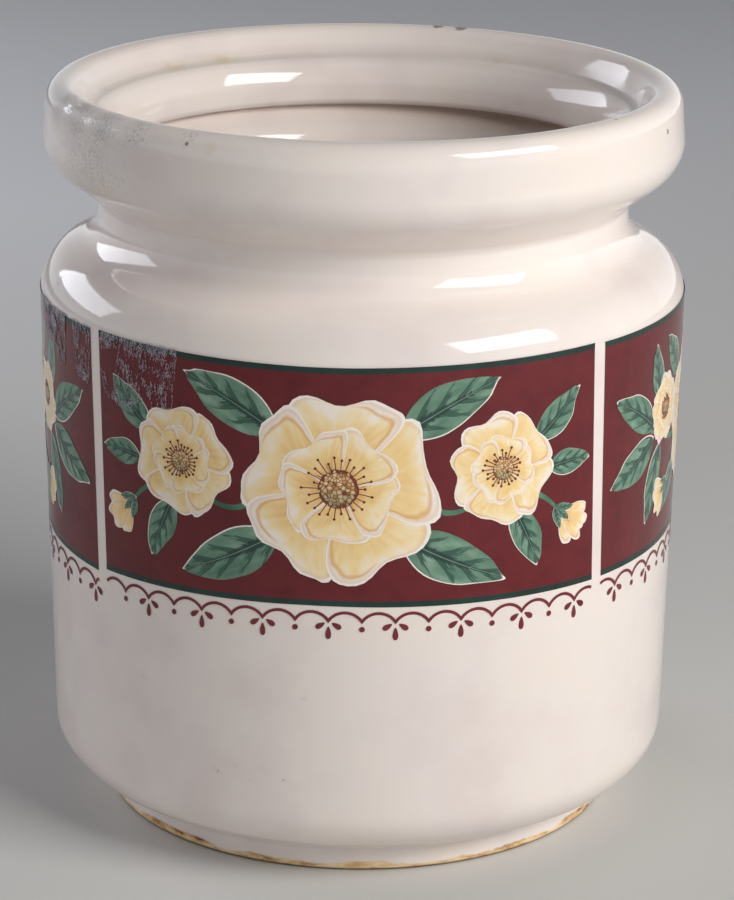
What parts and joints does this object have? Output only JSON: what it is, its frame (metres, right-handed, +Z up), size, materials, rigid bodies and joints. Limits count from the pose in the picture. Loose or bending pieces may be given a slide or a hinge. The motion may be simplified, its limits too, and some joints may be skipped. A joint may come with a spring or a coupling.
{
  "type": "kitchen canister",
  "caption": "Open ceramic kitchen canister: a drum body on a low foot, a grooved neck, a rolled collar with an inner seat for a lid, and fired-on print panels.",
  "frame": {"origin": "on the canister's axis, in the plane that the foot ring stands on", "axes": "+Z up along the axis, front print facing -Y, +X to the right of the front"},
  "size_m": [0.1588, 0.1588, 0.1802],
  "materials": {
    "glazed_body": "cream gloss glaze over pale earthenware, bare on the foot's edge",
    "fired_print": "maroon enamel print fused to the glaze, gloss"
  },
  "bodies": {
    "root": {"canister_body": "glazed_body", "front_print": "fired_print", "right_print": "fired_print", "back_print": "fired_print", "left_print": "fired_print"}
  },
  "joints": []
}
